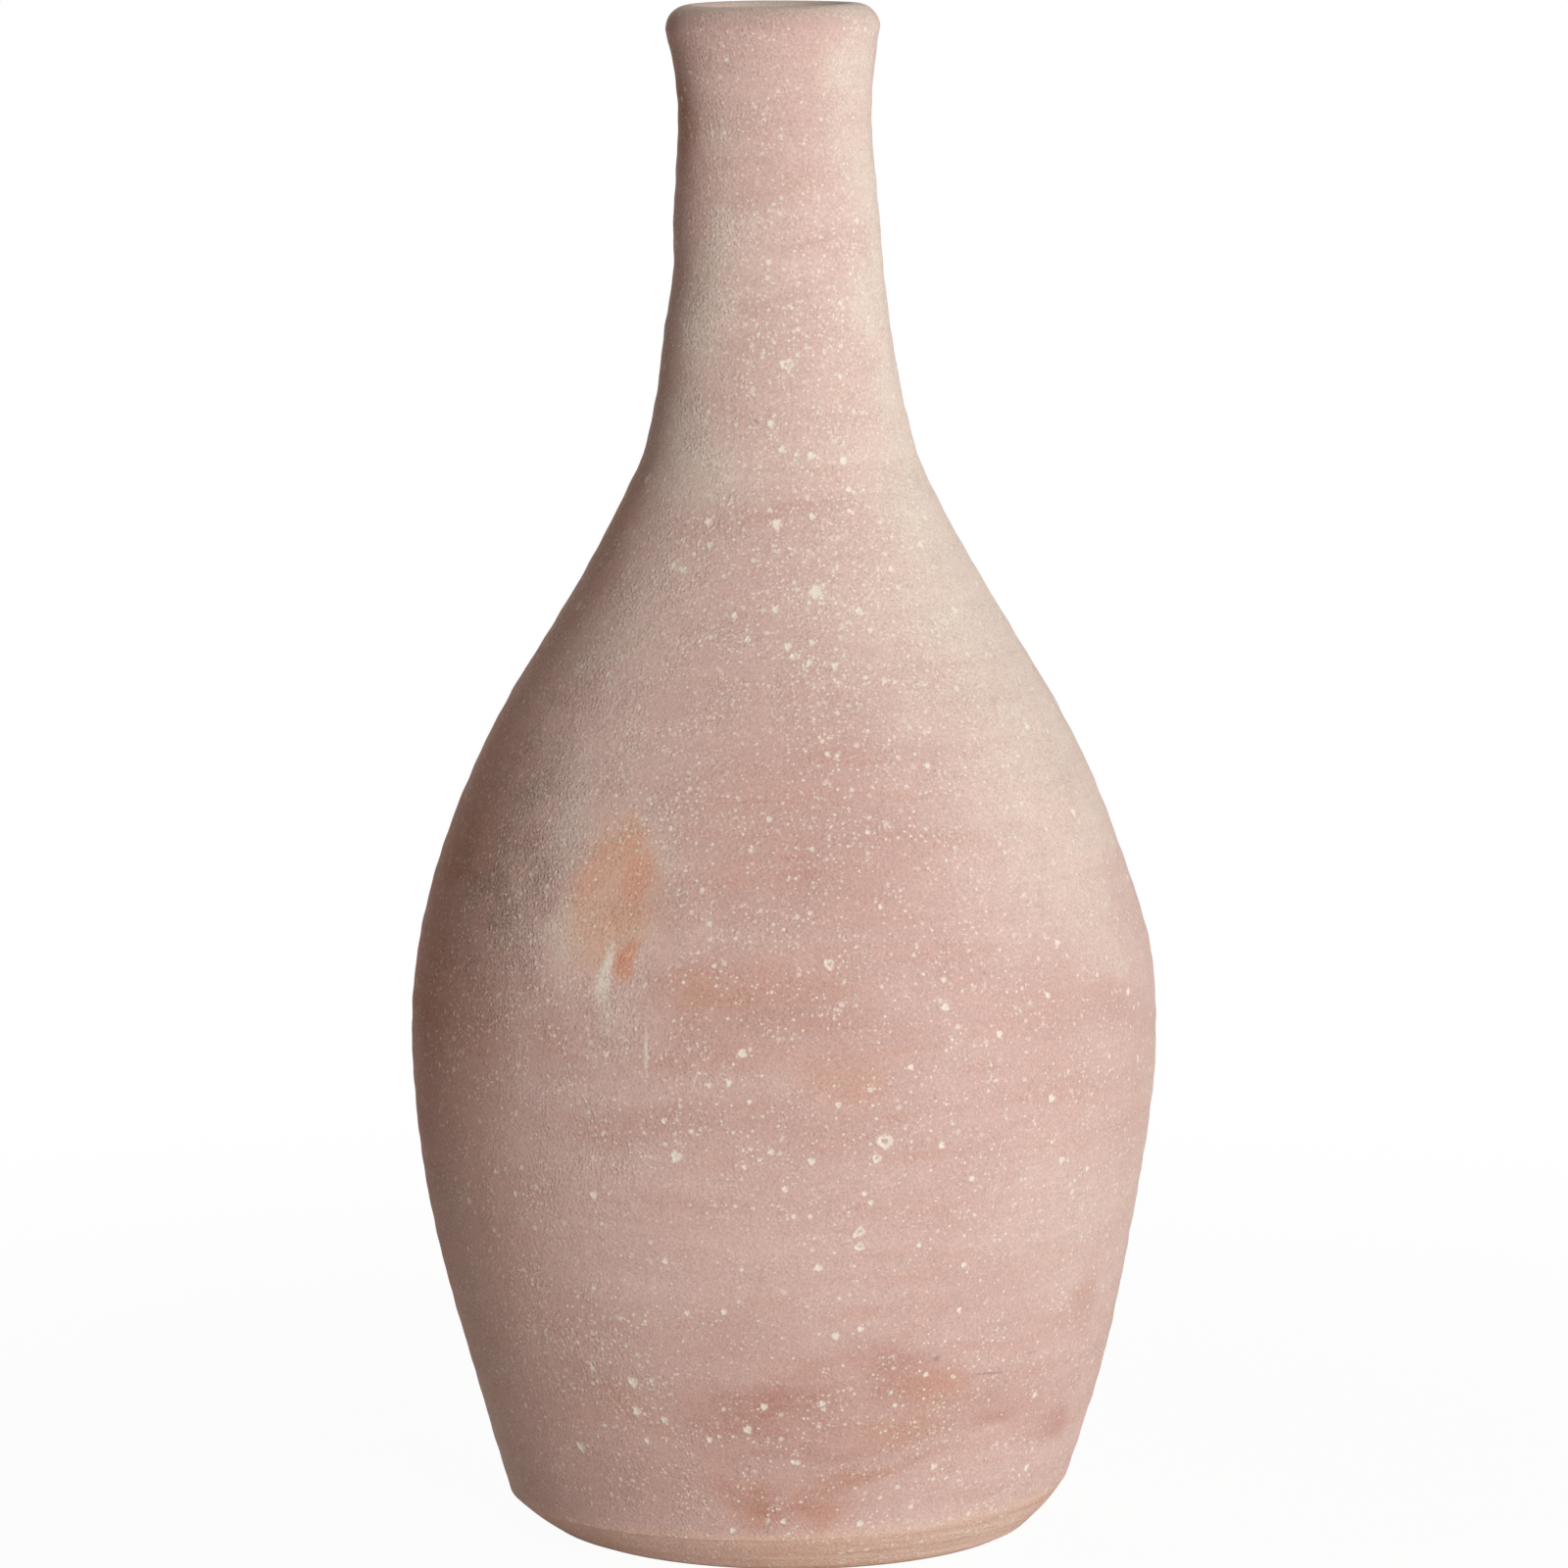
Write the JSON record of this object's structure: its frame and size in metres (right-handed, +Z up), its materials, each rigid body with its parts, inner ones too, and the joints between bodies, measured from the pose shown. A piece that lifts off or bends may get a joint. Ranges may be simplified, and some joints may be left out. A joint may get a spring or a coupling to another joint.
{
  "type": "clay vase",
  "caption": "Tall bottle-shaped vase of unglazed clay, with a bevelled foot, round belly, sloping shoulder, narrow neck and rolled lip, for stems or dried branches.",
  "frame": {"origin": "centre of the vase's box on the surface that it stands on, at the underside of the floor slab", "axes": "+Z up through the mouth; -Y is the side that carries the dent, which faces the camera in the picture; +X is the viewer's right"},
  "size_m": [0.245, 0.245, 0.5],
  "materials": {
    "terracotta": "matte",
    "scraped_terracotta": "matte"
  },
  "bodies": {
    "root": {"floor_slab": "scraped_terracotta", "lower_wall": "terracotta", "belly_wall": "terracotta", "shoulder": "terracotta", "lower_neck": "terracotta", "upper_neck": "terracotta"}
  },
  "joints": []
}
